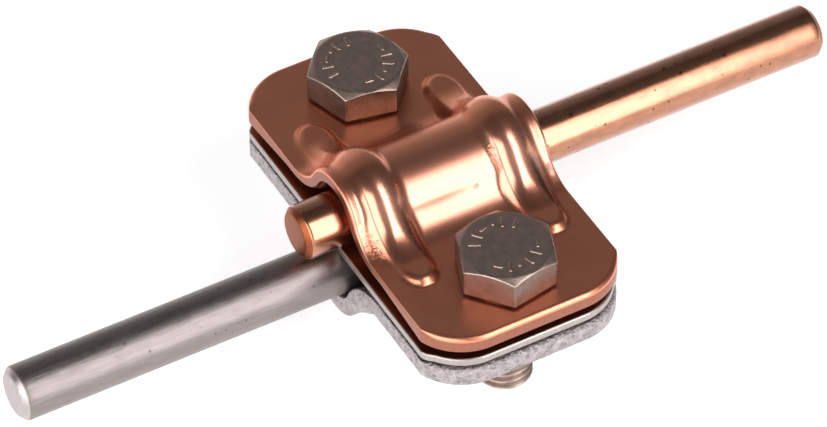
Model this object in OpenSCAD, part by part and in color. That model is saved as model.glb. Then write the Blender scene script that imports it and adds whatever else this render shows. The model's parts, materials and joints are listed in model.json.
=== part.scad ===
// Disconnect clamp: two pressed plates and a flat plate between them grip two round conductors.
// Origin at the centre of the whole part. +X runs along the conductors, +Y along the plates, +Z up.

/* [Conductors] */
// Diameter of both round conductors
conductor_d = 8; // [7:0.1:9]
// Distance from the clamp's centre to the copper conductor's long end
copper_reach = 62.5; // [45:0.1:120]
// Distance from the clamp's centre to the steel conductor's long end
steel_reach = 65.4; // [45:0.1:120]
// Distance from the clamp's centre to the copper conductor's short end
copper_stub = 21.5; // [18:0.1:40]
// Distance from the clamp's centre to the steel conductor's short end
steel_stub = 16; // [16:0.1:40]
// Chamfer on the conductor ends
conductor_chamfer = 0.9; // [0.2:0.1:1.5]

/* [Plates] */
// Width of the plates over their corner curves, along the conductors
plate_w = 32; // [30:0.5:44]
// Length of the plates, across the conductors
plate_l = 60; // [58:0.5:80]
// Radius of the plates' corners
corner_r = 8.5; // [4:0.5:12]
// How far the long edges are cut inside the corner curves
side_cut = 0.55; // [0.2:0.05:1]
// Thickness of the upper plate
upper_t = 2.5; // [2:0.1:3]
// Thickness of the middle plate
middle_t = 1.2; // [0.8:0.1:2]
// Thickness of the lower plate
lower_t = 2.7; // [2:0.1:3]
// Space between the flats of the upper and the middle plate
upper_gap = 1.9; // [1:0.1:2.6]
// Space between the flats of the middle and the lower plate
lower_gap = 0.7; // [0.4:0.1:2]

/* [Pressing] */
// Inner radius of the saddle over a conductor
saddle_r = 4.6; // [4.5:0.1:5.2]
// Outer radius where the saddle meets the flats
saddle_fillet = 4; // [1:0.1:5]
// Height of the flared mouths above the saddle
mouth_lift = 0.9; // [0.5:0.1:1.2]
// Inner radius of a flared mouth
mouth_r = 4; // [3.6:0.1:5]
// Outer radius where a mouth meets the flats
mouth_fillet = 6.5; // [4:0.1:8]
// Distance of the stiffening beads from the plate's middle
bead_x = 10.3; // [9.8:0.1:10.8]
// Height of the beads above the sheet
bead_h = 1.4; // [1:0.1:1.6]
// Outer radius where a bead's line meets the flats
bead_fillet = 10.5; // [6.5:0.1:11]
// Straight run of a bead on the flat before its round end
bead_run = 0.8; // [0.4:0.1:4]

/* [Bolts] */
// Thread diameter of the bolts
bolt_d = 8; // [7:0.1:9]
// Length of the bolts under the head
bolt_l = 20; // [18:0.5:30]
// Distance between the two bolts
bolt_spacing = 41.5; // [40:0.5:44]
// Width across the flats of the bolt heads
head_af = 13; // [12:0.1:14]
// Height of the bolt heads
head_h = 5.3; // [4:0.1:7]
// Diameter of the round top face of the bolt heads
head_top_d = 12.4; // [11:0.1:12.8]
// Diameter of the round bearing face under the bolt heads
bearing_d = 11.6; // [11:0.1:12.4]
// Height of that bearing face
bearing_h = 0.4; // [0.2:0.1:0.6]
// Chamfer on the bolt tips
tip_chamfer = 0.8; // [0.3:0.1:1.2]
// Turn of the front bolt head, in degrees
front_head_turn = 9.5; // [0:0.5:60]
// Turn of the rear bolt head, in degrees
rear_head_turn = 48; // [0:0.5:60]

/* [Clearances] */
// Radial space of the bolts in the plain holes
hole_clearance = 0.5; // [0.2:0.1:1]
// Radial space of the bolts in the threaded holes
thread_clearance = 0.05; // [0.02:0.01:0.1]
// Space between a conductor and what it lies against
seat_clearance = 0.05; // [0.02:0.01:0.2]

/* [Hidden] */
$fn = 96;

copper_colour = "#b06a50";
clad_colour = "#b5b2b0";
zinc_colour = "#a6a6a8";
stainless_colour = "#6e6560";
steel_colour = "#9a9496";

// Heights from the upper plate's top flat, first as drops below it
middle_drop = upper_t + upper_gap;
lower_face_drop = middle_drop + middle_t + lower_gap + lower_t;

// Height of a conductor's far side above a pressed plate's outer flat
upper_seat = conductor_d + 2 * seat_clearance - middle_drop;
lower_seat = conductor_d + 2 * seat_clearance - lower_gap - lower_t;

// The highest point is a bead's crest and the lowest is a bolt's tip: the origin lies midway
upper_crest = upper_seat + upper_t + mouth_lift + bead_h;
upper_top_z = (bolt_l - upper_crest) / 2;
middle_top_z = upper_top_z - middle_drop;
lower_face_z = upper_top_z - lower_face_drop;
copper_axis_z = middle_top_z + seat_clearance + conductor_d / 2;
steel_axis_z = middle_top_z - middle_t - seat_clearance - conductor_d / 2;

// The conductors reach out unequally, so the clamp lies beside the origin by half the difference
clamp_x = (steel_reach - copper_reach) / 2;

bolt_y = bolt_spacing / 2;
bolt_r = bolt_d / 2;
head_corner_r = head_af / sqrt(3);
head_top_r = head_top_d / 2;
head_chamfer_angle = 30;

// Reach of the cutting and trimming solids past the part
past = 1;
trim_h = 80;
head_blank_r = head_corner_r + past;
head_chamfer_drop = (head_blank_r - head_top_r) * tan(head_chamfer_angle);

// Depth of the area under a pressed line, and how far its curves cross
line_depth = 12;
crossing = 0.02;
// Angle by which a bead's stretches run into each other
lap = 1.5;
// How far the mouths run into the saddle's ends
mouth_lap = 0.8;
// Height of the beads' flat undersides above the sheet's inner face
bead_floor = 0.3;

// A pressed sheet's line in the YZ plane: an arch of outer radius ro, its centre at height zc,
// flows through a fillet of outer radius rf into the flat. The sheet's outer flat is at height 0.
function arch_turn(ro, zc, rf) = acos((rf - zc) / (ro + rf));
function foot_y(ro, zc, rf) = (ro + rf) * sin(arch_turn(ro, zc, rf));

// Plan outline of the plates: round corners, and long edges cut straight a little inside them
module plan_outline() {
    intersection() {
        square([plate_w - 2 * side_cut, plate_l + 2 * past], center = true);
        union() {
            square([plate_w - 2 * corner_r, plate_l], center = true);
            square([plate_w, plate_l - 2 * corner_r], center = true);
            for (sx = [-1, 1], sy = [-1, 1])
                translate([sx * (plate_w / 2 - corner_r), sy * (plate_l / 2 - corner_r)])
                    circle(corner_r);
        }
    }
}

// Area under a pressed line of arch radius r and fillet radius f, with its flat at height base.
// The arch centre is (0, zc) and the fillet centres are (foot, rf) and (-foot, rf). The fillet
// circles dip into the arch and the flat by a hair, so that the curves cross and never just touch.
module line_area(r, f, base, zc, foot, rf) {
    translate([0, zc])
        circle(r);
    translate([-plate_l / 2 - past, base - line_depth])
        square([plate_l + 2 * past, line_depth]);
    for (side = [0, 1])
        mirror([side, 0])
            difference() {
                polygon([[0, zc], [foot, rf], [foot, base - past], [0, min(zc, base) - past]]);
                translate([foot, rf])
                    circle(f + crossing);
            }
}

// Sheet of thickness t pressed to one line, between two distances across the plate
module pressed_sheet(x0, x1, t, ro, zc, rf) {
    foot = foot_y(ro, zc, rf);
    translate([x0, 0, 0])
        rotate([90, 0, 90])
            linear_extrude(x1 - x0)
                difference() {
                    line_area(ro, rf, 0, zc, foot, rf);
                    line_area(ro - t, rf + t, -t, zc, foot, rf);
                }
}

// Turns a section, drawn as width x and height n, about the X axis between two angles.
// side = 1 bends it over an arch of radius r at n = 0, side = -1 bends it into a hollow.
module bend(r, from, to, side) {
    rotate([90, 0, -90 * side])
        rotate_extrude(angle = to - from, start = from)
            translate([r, 0])
                rotate(-90 * side)
                    children();
}

// Section of a round rib: a disc about the sheet's inner face, cut flat at height floor
module rib_section(r, floor) {
    intersection() {
        circle(r);
        translate([-2 * r, floor])
            square([4 * r, 3 * r]);
    }
}

// Round rib of radius r along a pressed line's inner face, with ball ends, cut flat at height floor.
// A bead's line runs into the flat more gently than the mouth's, so the rib fills the mouth's foot.
// Each stretch runs a little into the next, which is smaller by a hair, so that no surfaces just touch.
module rib(t, ro, zc, rf, r, floor) {
    turn = arch_turn(ro, zc, rf);
    foot = foot_y(ro, zc, rf);
    translate([0, 0, zc])
        bend(ro - t, 90 - turn - lap, 90 + turn + lap, 1)
            rib_section(r, floor);
    for (side = [0, 1])
        mirror([0, side, 0]) {
            translate([0, foot, rf])
                bend(rf + t, 270 - turn - lap, 270 + lap, -1)
                    rib_section(r - crossing, floor + crossing);
            translate([0, foot, -t])
                rotate([90, 0, 180])
                    linear_extrude(bead_run)
                        rib_section(r - 2 * crossing, floor + 2 * crossing);
            translate([0, foot + bead_run, -t])
                rotate_extrude()
                    intersection() {
                        rib_section(r - 3 * crossing, floor + 3 * crossing);
                        translate([0, -2 * r])
                            square(4 * r);
                    }
        }
}

// Pressed plate, its outer flat at height 0: a saddle over the conductor in the middle, a flared
// mouth at each side, and a bead over each mouth. seat is the height of the conductor's far side.
module pressed_plate(t, seat, hole_r) {
    saddle_ro = saddle_r + t;
    saddle_zc = seat - saddle_r;
    mouth_ro = mouth_r + t;
    mouth_zc = seat + mouth_lift - mouth_r;
    saddle_half = bead_x - bead_h;
    mouth_from = saddle_half - mouth_lap;
    mouth_to = plate_w / 2 + past;
    difference() {
        intersection() {
            union() {
                pressed_sheet(-saddle_half, saddle_half, t, saddle_ro, saddle_zc, saddle_fillet);
                for (side = [0, 1])
                    mirror([side, 0, 0]) {
                        pressed_sheet(mouth_from, mouth_to, t, mouth_ro, mouth_zc, mouth_fillet);
                        translate([bead_x, 0, 0])
                            rib(t, mouth_ro, mouth_zc, bead_fillet, t + bead_h, bead_floor);
                    }
            }
            translate([0, 0, -trim_h / 2])
                linear_extrude(trim_h)
                    plan_outline();
        }
        for (side = [-1, 1])
            translate([side * bead_x, 0, 0])
                rib(t, mouth_ro, mouth_zc, bead_fillet, bead_h, -2 * bead_h);
        bolt_holes(hole_r);
    }
}

module bolt_holes(r) {
    for (sy = [-1, 1])
        translate([0, sy * bolt_y, -trim_h / 2])
            cylinder(r = r, h = trim_h);
}

// Hexagon bolt with its bearing face at height 0, the head turned about its axis
module hex_bolt(turn) {
    rotate(turn)
        intersection() {
            translate([0, 0, bearing_h])
                cylinder(r = head_corner_r, h = head_h - bearing_h, $fn = 6);
            rotate_extrude()
                polygon([
                    [0, 0],
                    [head_blank_r, 0],
                    [head_blank_r, head_h - head_chamfer_drop],
                    [head_top_r, head_h],
                    [0, head_h]
                ]);
        }
    rotate_extrude()
        polygon([
            [0, head_h / 2],
            [bearing_d / 2, head_h / 2],
            [bearing_d / 2, 0],
            [bolt_r, 0],
            [bolt_r, tip_chamfer - bolt_l],
            [bolt_r - tip_chamfer, -bolt_l],
            [0, -bolt_l]
        ]);
}

// Round conductor from its short end at x = -stub to its long end at x = reach
module conductor(reach, stub) {
    rotate([0, 90, 0])
        rotate_extrude()
            polygon([
                [0, -stub],
                [conductor_d / 2 - conductor_chamfer, -stub],
                [conductor_d / 2, conductor_chamfer - stub],
                [conductor_d / 2, reach - conductor_chamfer],
                [conductor_d / 2 - conductor_chamfer, reach],
                [0, reach]
            ]);
}

module upper_plate() {
    color(copper_colour)
        translate([clamp_x, 0, upper_top_z])
            pressed_plate(upper_t, upper_seat, bolt_r + hole_clearance);
}

module middle_plate() {
    color(clad_colour)
        translate([clamp_x, 0, middle_top_z - middle_t])
            difference() {
                linear_extrude(middle_t)
                    plan_outline();
                bolt_holes(bolt_r + hole_clearance);
            }
}

module lower_plate() {
    color(zinc_colour)
        translate([clamp_x, 0, lower_face_z])
            mirror([0, 0, 1])
                pressed_plate(lower_t, lower_seat, bolt_r + thread_clearance);
}

module front_bolt() {
    color(stainless_colour)
        translate([clamp_x, -bolt_y, upper_top_z])
            hex_bolt(front_head_turn);
}

module rear_bolt() {
    color(stainless_colour)
        translate([clamp_x, bolt_y, upper_top_z])
            hex_bolt(rear_head_turn);
}

module copper_conductor() {
    color(copper_colour)
        translate([clamp_x, 0, copper_axis_z])
            conductor(copper_reach, copper_stub);
}

module steel_conductor() {
    color(steel_colour)
        translate([clamp_x, 0, steel_axis_z])
            rotate([0, 0, 180])
                conductor(steel_reach, steel_stub);
}

upper_plate();
middle_plate();
lower_plate();
front_bolt();
rear_bolt();
copper_conductor();
steel_conductor();
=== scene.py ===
"""Looks of a disconnect clamp: two pressed plates and a flat plate that grip two round conductors.

Shapes are worked out in millimetres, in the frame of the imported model, and put into meshes in metres.
"""

import json
import math

import bpy
import numpy as np
from mathutils import Matrix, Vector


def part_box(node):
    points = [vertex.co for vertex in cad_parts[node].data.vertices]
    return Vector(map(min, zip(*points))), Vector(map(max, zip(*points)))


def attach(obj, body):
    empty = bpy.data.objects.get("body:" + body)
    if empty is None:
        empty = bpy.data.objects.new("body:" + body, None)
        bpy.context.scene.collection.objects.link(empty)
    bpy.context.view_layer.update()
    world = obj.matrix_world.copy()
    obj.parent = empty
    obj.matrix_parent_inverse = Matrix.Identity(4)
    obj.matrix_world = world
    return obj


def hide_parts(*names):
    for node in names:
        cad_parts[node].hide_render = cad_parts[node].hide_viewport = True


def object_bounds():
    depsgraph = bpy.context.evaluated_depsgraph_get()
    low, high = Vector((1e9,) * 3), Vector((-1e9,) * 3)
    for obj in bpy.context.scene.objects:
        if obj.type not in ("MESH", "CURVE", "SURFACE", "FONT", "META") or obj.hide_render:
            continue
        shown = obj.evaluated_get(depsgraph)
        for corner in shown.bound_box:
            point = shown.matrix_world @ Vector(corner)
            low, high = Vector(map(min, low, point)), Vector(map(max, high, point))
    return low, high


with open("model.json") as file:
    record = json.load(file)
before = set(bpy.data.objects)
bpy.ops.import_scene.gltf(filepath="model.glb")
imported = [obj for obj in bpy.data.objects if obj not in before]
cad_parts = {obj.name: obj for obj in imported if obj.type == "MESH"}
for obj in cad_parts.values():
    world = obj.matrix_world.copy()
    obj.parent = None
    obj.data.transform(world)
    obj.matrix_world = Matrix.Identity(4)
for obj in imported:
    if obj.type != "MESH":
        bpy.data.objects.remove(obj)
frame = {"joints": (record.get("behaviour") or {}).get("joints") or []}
cad_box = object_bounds()

MM = 0.001


# Places read from the frame

def box_mm(node):
    """Lowest and highest corner of a CAD node, in millimetres."""
    low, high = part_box(node)
    return np.array(low) / MM, np.array(high) / MM


JOINTS = {joint["name"]: joint for joint in frame["joints"]}
FRONT_AXIS = np.array(JOINTS["front_bolt_turn"]["pos_m"]) / MM
REAR_AXIS = np.array(JOINTS["rear_bolt_turn"]["pos_m"]) / MM
_, UPPER_HIGH = box_mm("upper_plate")
MIDDLE_LOW, MIDDLE_HIGH = box_mm("middle_plate")
_, LOWER_HIGH = box_mm("lower_plate")
BOLT_LOW, BOLT_HIGH = box_mm("front_bolt")
COPPER_LOW, COPPER_HIGH = box_mm("copper_conductor")
STEEL_LOW, STEEL_HIGH = box_mm("steel_conductor")

CLAMP_X = FRONT_AXIS[0]
SIDE_X = UPPER_HIGH[0] - CLAMP_X
PLATE_HALF_L = UPPER_HIGH[1]
UPPER_FLAT = FRONT_AXIS[2]
BOLT_Y = REAR_AXIS[1]
HEAD_H = BOLT_HIGH[2] - UPPER_FLAT
BOLT_L = UPPER_FLAT - BOLT_LOW[2]
FLOOR_Z = cad_box[0][2]

# Driving sizes of the plates, in millimetres, as the solids have them
UPPER_T = 2.5
LOWER_T = 2.7
CORNER_R = 8.5
CORNER_HALF_W = 16.0
SADDLE_R = 4.6
SADDLE_FILLET = 4.0
MOUTH_LIFT = 0.9
MOUTH_R = 4.0
MOUTH_FILLET = 6.5
BEAD_X = 10.3
BEAD_H = 1.4
BEAD_FOOT_R = 10.5
SEAT_CLEARANCE = 0.05
PLAIN_HOLE_R = 4.5
THREADED_HOLE_R = 4.05

# The stretch in which a saddle becomes a mouth
STEP_HALF = 1.3

# How a bead becomes flatter on top and steeper at its sides towards its round tips
BEAD_TAPER = 7.0
TAPER_END = 14.0
BEAD_END = 16.4
TIP_START = 13.6
SPINE_HALF_W = 0.02
TIP_H = 0.95
TIP_DEPTH = 0.3
TIP_HALF_FLAT = 1.45
BEAD_FILLET = 0.7
TIP_FILLET = 0.45

# The upper plate's outer face: a fuller saddle with wider feet, and lips that start a step outside the beads
# and turn up a little to rounder rims
SADDLE_SWELL = 0.5
SWOLLEN_FILLET = 5.8
LIP_START = 2.0
LIP_SWELL = 0.3
LIP_ROLL = 0.3
SWELL_START = 4.5
SWELL_END = 10.5

# The upper plate's rim is thin over its mouths, rounded off underneath, and full again at the corners
RIM_T = 0.65
RIM_FLARE = 2.6
RIM_THIN_Y = 13.5
RIM_FULL_Y = 24.0

# Rounding of the sheared edges: strong at the ends and corners, slight along the sides
KINK = math.acos((SIDE_X - CORNER_HALF_W + CORNER_R) / CORNER_R)
END_ROLL = 0.7
ROLL_START = 0.3
SIDE_ROLL = 0.18
BURR_ROUND = 0.12
HOLE_ROUND = 0.3

# Bolts
HEAD_AF = 13.0
HEAD_TOP_R = 6.2
HEAD_CHAMFER = math.radians(30)
HEAD_CORNER_ROUND = 0.3
BEARING_R = 5.8
BEARING_H = 0.4
FRONT_TURN = math.radians(9.5)
REAR_TURN = math.radians(48)
THREAD_R = 4.0
THREAD_PITCH = 1.25
THREAD_DEPTH = 0.72
TIP_CHAMFER = 0.8

# Softness of a head's edges: at the bearing face, under the sides, over them and round the top, and the
# break of the corner over the bearing face
BEARING_SOFT = 0.12
UNDER_SOFT = 0.25
OVER_SOFT = 0.16
TOP_OUT = 0.2
TOP_IN = 0.25
HAIR = 0.03

# Radii of the rings on a head's bearing face and top, and shares of its sides' height at which rings lie
BEARING_RINGS = (1.0, 4.2)
TOP_RINGS = (5.8, 4.5, 3.0, 1.5, 0.6)
SIDE_SHARES = (0.03, 0.5, 0.97)
HEAD_PER_SIDE = 28

# Faces of a bolt whose direction rises less than this share count as sides, undersides too. They take a
# darker copy of the stainless steel, as painted shade
SIDE_RISE = 0.25

# The thread ends inside the head. Shares of half a pitch: its root, and the flank from there to the crest
THREAD_TOP = 1.0
ROOT_SHARE = 0.16
FLANK_SHARE = 0.7
THREAD_ROWS = 210
THREAD_ANGLES = 64

# Raised marks on the heads: the radius they lie on, their strokes' half width and height, the degrees of the
# rings at their round ends, the points of a ring, and the rings for each corner of a path
MARK_R = 4.3
MARK_HALF_W = 0.28
MARK_H = 0.2
MARK_CAP = (84, 65, 45, 22)
MARK_ANGLES = 12
MARK_POINTS = 4

# Conductors: their chamfered ends, how soft the chamfer's edges are, and the innermost ring of an end
CONDUCTOR_CHAMFER = 0.9
CHAMFER_SOFT = 0.22
END_RING_R = 0.8
CONDUCTOR_ROWS = 30
CONDUCTOR_ANGLES = 128
CUT_BANDS = 5

# Fineness of the grids
INNER_COLUMNS = 30
OUTER_COLUMNS = 48
OUTER_SPANS = ((0, 0.11, 4), (0.11, 0.77, 40), (0.77, 1, 7))
ARCH_ROWS = 46
FILLET_ROWS = 24
FLAT_ROWS = 22
BLOCK_ROWS = 52
TIP_ROWS = 30
TIP_PAST = 18.3
END_ROWS = 12
ROLL_STEPS = 6
BURR_RINGS = 4
FIELD_STEPS = (0.33, 0.66, 1)

# Stretch of a ray in which it leaves a plate's form, and how often that stretch is halved
RAY_LOW = -5.5
RAY_HIGH = 3.6
HALVINGS = 40

# The flat plate has its rows where a line of this arch, centre and fillet would have them
FLAT_LINE = (4.0, 0.0, 4.0)

# Half sizes of the field round each bolt hole
BLOCK_X = 6.0
BLOCK_Y = 6.5


def smoothstep(low, high, value):
    """0 on low's side, 1 on high's side, and 3s^2 - 2s^3 of the share s between them."""
    share = np.clip((value - low) / (high - low), 0, 1)
    return share * share * (3 - 2 * share)


def bezier(p0, p1, p2, count):
    """Points of a quadratic curve from p0 to p2 that bends towards p1: (1-t)^2 p0 + 2t(1-t) p1 + t^2 p2."""
    p0, p1, p2 = (np.asarray(p, float)[None] for p in (p0, p1, p2))
    t = np.linspace(0, 1, count).reshape((count,) + (1,) * (p0.ndim - 1))
    return (1 - t) ** 2 * p0 + 2 * t * (1 - t) * p1 + t ** 2 * p2


def unit(vectors):
    """Vectors divided by their lengths."""
    return vectors / np.linalg.norm(vectors, axis=-1, keepdims=True)


def circle(count):
    """Equal angles once round, from 0."""
    return np.linspace(0, 2 * math.pi, count, endpoint=False)


# Putting points into meshes

def grid_faces(rows, columns, keep):
    """Corner numbers of the kept cells of a grid that is stored row by row, turned towards row x column."""
    r, c = np.meshgrid(np.arange(rows - 1), np.arange(columns - 1), indexing="ij")
    first = r * columns + c
    return np.stack([first, first + 1, first + columns + 1, first + columns], -1)[keep]


def ring_faces(rings, outwards):
    """Faces between closed rings of corner numbers, each ring as long as the next."""
    faces = []
    for one, other in zip(rings[:-1], rings[1:]):
        a, b = one, np.roll(one, -1)
        c, d = np.roll(other, -1), other
        faces.append(np.stack([a, d, c, b] if outwards else [a, b, c, d], -1))
    return np.concatenate(faces)


def new_object(name, data):
    """An object in the scene that holds data."""
    holder = bpy.data.objects.new(name, data)
    bpy.context.scene.collection.objects.link(holder)
    return holder


def add_piece(name, points, quads, body, node, materials, tags=None, fans=()):
    """A smooth mesh of points in millimetres that rides on a body and stands for a CAD node."""
    used, index = np.unique(np.concatenate([quads.ravel(), *[f.ravel() for f in fans]]).astype(int),
                            return_inverse=True)
    faces = index[: quads.size].reshape(-1, 4).tolist()
    faces += index[quads.size:].reshape(-1, 3).tolist()
    mesh = bpy.data.meshes.new(name)
    mesh.from_pydata((points[used] * MM).tolist(), [], faces)
    mesh.polygons.foreach_set("use_smooth", np.ones(len(faces), bool))
    for material in materials:
        mesh.materials.append(material)
    if tags is not None:
        mesh.polygons.foreach_set("material_index", tags.astype(np.int32))
    mesh.update()
    piece = new_object(name, mesh)
    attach(piece, body)
    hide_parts(node)


# Pressed plates

def line_turn(ro, zc, rf):
    """Angle from the crown at which an arch of radius ro about height zc meets a fillet of radius rf."""
    return math.acos((rf - zc) / (ro + rf))


def line_foot(ro, zc, rf):
    """Distance from the middle at which that fillet runs into the flat."""
    return (ro + rf) * math.sin(line_turn(ro, zc, rf))


def line_distance(y, z, ro, zc, rf):
    """Signed distance from a pressed line: an arch, a fillet and a flat at height 0, positive outside."""
    away = np.abs(y)
    foot = line_foot(ro, zc, rf)
    on_arch = np.arctan2(away, z - zc) < line_turn(ro, zc, rf)
    arch = np.hypot(away, z - zc) - ro
    fillet = rf - np.hypot(foot - away, z - rf)
    return np.where(away > foot, z, np.where(on_arch, arch, fillet))


def ellipse_distance(across, along, half_w, half_l):
    """About the distance outside an ellipse: k (k - 1) / m.

    k and m are the lengths of the place vector divided by the half sizes and by their squares.
    """
    k = np.hypot(across / half_w, along / half_l)
    m = np.hypot(across / half_w ** 2, along / half_l ** 2)
    return k * (k - 1) / np.maximum(m, 1e-9)


def round_union(a, b, radius):
    """Signed distance of two joined forms, with a fillet of that radius in the corner between them."""
    corner = np.hypot(np.maximum(radius - a, 0), np.maximum(radius - b, 0))
    return np.maximum(radius, np.minimum(a, b)) - corner


def thin_rims(outer, inner, thick):
    """The inner face, lifted towards the outer one near the long edges, by a quarter circle's share.

    The lift leaves RIM_T at the rim over the mouths and less is taken away towards the corners.
    """
    away = np.abs(outer[..., 1])
    left = RIM_T + (thick - RIM_T) * np.clip((away - RIM_THIN_Y) / (RIM_FULL_Y - RIM_THIN_Y), 0, 1)
    share = np.clip((np.abs(outer[..., 0]) - SIDE_X + RIM_FLARE) / RIM_FLARE, 0, 1)
    lift = (1 - left / thick) * (1 - np.sqrt(1 - share ** 2))
    return inner + (outer - inner) * lift[..., None]


def pressed_lines(seat, thick):
    """Saddle line and mouth line of a plate whose conductor's far side is seat over the outer flat."""
    saddle = (SADDLE_R + thick, seat - SADDLE_R, SADDLE_FILLET)
    mouth = (MOUTH_R + thick, seat + MOUTH_LIFT - MOUTH_R, MOUTH_FILLET)
    return saddle, mouth


def pressing_distance(x, y, z, seat, thick, depth, swollen=False):
    """Signed distance from the face of a pressed sheet that lies depth under its outer face.

    Where it is swollen, the saddle's arch is larger and its feet wider, and the lips outside the beads rise
    a little towards the rims, which fades out towards their feet. The saddle line becomes the mouth line
    under the beads. A bead is a round rib over a line with the mouth's arch and a gentler foot, joined on
    with a fillet. Its centre lies on the inner face over the saddle. Towards the tips the rib becomes lower,
    its centre comes closer to the outer face and widens into a flat with an elliptic end, so that its sides
    become steeper.
    """
    saddle, mouth = pressed_lines(seat, thick)
    bead_line = line_distance(y, z, mouth[0], mouth[1], BEAD_FOOT_R)
    across, along = np.abs(x), np.abs(y)
    share = smoothstep(BEAD_X - STEP_HALF, BEAD_X + STEP_HALF, across)
    mouth_away = line_distance(y, z, *mouth)
    if swollen:
        saddle = (saddle[0] + SADDLE_SWELL, saddle[1], SWOLLEN_FILLET)
        swell = smoothstep(SWELL_END, SWELL_START, along) * smoothstep(BEAD_X + LIP_START, SIDE_X, across)
        mouth_away = mouth_away - LIP_SWELL * swell
    base = (1 - share) * line_distance(y, z, *saddle) + share * mouth_away + depth
    tip = smoothstep(BEAD_TAPER, TAPER_END, along)
    below = thick + (TIP_DEPTH - thick) * tip
    beyond = np.maximum(along - TIP_START, 0)
    half_w = SPINE_HALF_W + TIP_HALF_FLAT * tip
    aside = ellipse_distance(across - BEAD_X, beyond, half_w, BEAD_END - TIP_START)
    from_spine = np.hypot(np.maximum(aside, 0), bead_line + below)
    bead = from_spine - (below + BEAD_H + (TIP_H - BEAD_H) * tip - depth)
    return round_union(base, bead, BEAD_FILLET + (TIP_FILLET - BEAD_FILLET) * tip + depth)


def leave_form(x, y, z, ny, nz, distance):
    """Points where rays from (x, y, z) along (0, ny, nz) leave a form, found by halving an interval."""
    low = np.full(x.shape, RAY_LOW)
    high = np.full(x.shape, RAY_HIGH)
    for _ in range(HALVINGS):
        middle = (low + high) / 2
        outside = distance(x, y + ny * middle, z + nz * middle) > 0
        high = np.where(outside, middle, high)
        low = np.where(outside, low, middle)
    return np.stack([x, y + ny * low, z + nz * low], -1)


def half_stations(line):
    """Stations from the middle of a plate to its end: (y, z, ny, nz, corner angle).

    They run over an arch by equal angles, through a fillet by equal angles, then along the flat, past the
    bolt's field, and into the corner by equal angles. One of them lies on the kink at which the straight side
    meets the corner's arc. The corner angle is 0 before the kink.
    """
    corner_y = PLATE_HALF_L - CORNER_R
    kink_y = corner_y + CORNER_R * math.sin(KINK)
    start, stop = BOLT_Y - BLOCK_Y, BOLT_Y + BLOCK_Y
    ro, zc, rf = line
    turn, foot = line_turn(*line), line_foot(*line)
    arch = np.linspace(0, turn, ARCH_ROWS + 1)
    fillet = np.linspace(turn, 0, FILLET_ROWS + 1)[1:]
    flat = np.concatenate([np.linspace(foot, start, FLAT_ROWS + 1)[1:],
                           np.linspace(start, TIP_PAST, TIP_ROWS + 1)[1:],
                           np.linspace(TIP_PAST, stop, BLOCK_ROWS - TIP_ROWS + 1)[1:]])
    flat[np.argmin(np.abs(flat - kink_y))] = kink_y
    last = np.linspace(math.asin((stop - corner_y) / CORNER_R), math.pi / 2, END_ROWS + 1)[1:]
    near = stop + (PLATE_HALF_L - END_ROLL - stop) * (np.arange(END_ROWS) + 1) / END_ROWS
    y = np.concatenate([ro * np.sin(arch), foot - rf * np.sin(fillet), flat, near])
    z = np.concatenate([zc + ro * np.cos(arch), rf - rf * np.cos(fillet), 0 * flat, 0 * near])
    ny = np.concatenate([np.sin(arch), np.sin(fillet), 0 * flat, 0 * near])
    nz = np.concatenate([np.cos(arch), np.cos(fillet), 1 + 0 * flat, 1 + 0 * near])
    corner = np.where(flat >= kink_y, np.arcsin(np.clip((flat - corner_y) / CORNER_R, 0, 1)), 0)
    corner = np.concatenate([0 * arch, 0 * fillet, corner, last])
    return np.stack([y, z, ny, nz, corner])


def plate_grid(line, lip_roll=0.0):
    """Plan of a plate: rays (x, y, z, ny, nz) on a grid, the outward directions and rolls of its sides.

    lip_roll is added to the roll of the long sides over the mouths.
    """
    half = half_stations(line)
    front = half[:, :0:-1] * np.array([-1, 1, -1, 1, 1])[:, None]
    y, z, ny, nz, corner = np.concatenate([front, half], 1)
    side = np.sign(y)
    roll = SIDE_ROLL + (END_ROLL - SIDE_ROLL) * smoothstep(KINK, KINK + ROLL_START, corner)
    roll = roll + lip_roll * smoothstep(SWELL_END, SWELL_START, np.abs(y))
    arc_x = CORNER_HALF_W - CORNER_R + (CORNER_R - roll) * np.cos(corner)
    arc_y = side * (PLATE_HALF_L - CORNER_R + (CORNER_R - roll) * np.sin(corner))
    edge_x = np.where(corner > 0, arc_x, SIDE_X - roll)
    edge_y = np.where(corner > 0, arc_y, y)
    inner = np.linspace(-BLOCK_X, BLOCK_X, INNER_COLUMNS + 1)
    outer = np.concatenate([np.linspace(*span)[1:] for span in OUTER_SPANS])
    share = np.concatenate([outer[::-1], 0 * inner, outer])
    fixed_x = np.concatenate([np.full(OUTER_COLUMNS, -BLOCK_X), inner, np.full(OUTER_COLUMNS, BLOCK_X)])
    x = fixed_x + share * np.sign(fixed_x) * (edge_x[:, None] - BLOCK_X)
    rays_y = y[:, None] + share * (edge_y - y)[:, None]
    spread = np.ones_like(x)
    rays = (x, rays_y, z[:, None] * spread, ny[:, None] * spread, nz[:, None] * spread)
    turn = np.where(np.isclose(corner, KINK), KINK / 2, corner)
    out = np.stack([np.cos(turn), side * np.sin(turn)], -1)
    return rays, out, roll


def rolled_rings(outer, inner, out, roll, burr):
    """Rings of points round a sheared edge, from the rolled face's rim to the other face's.

    A quarter circle of radius roll turns from the first face into the wall, and one of radius burr turns
    from the wall into the second face. out points away from the sheet.
    """
    up = unit(outer - inner)
    roll = roll[:, None]
    rings = []
    for angle in np.linspace(0, math.pi / 2, ROLL_STEPS + 1)[1:]:
        rings.append(outer + out * roll * math.sin(angle) - up * roll * (1 - math.cos(angle)))
    for angle in np.linspace(0, math.pi / 2, BURR_RINGS):
        rings.append(inner + out * (roll - burr + burr * math.cos(angle)) + up * burr * (1 - math.sin(angle)))
    return rings


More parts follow.
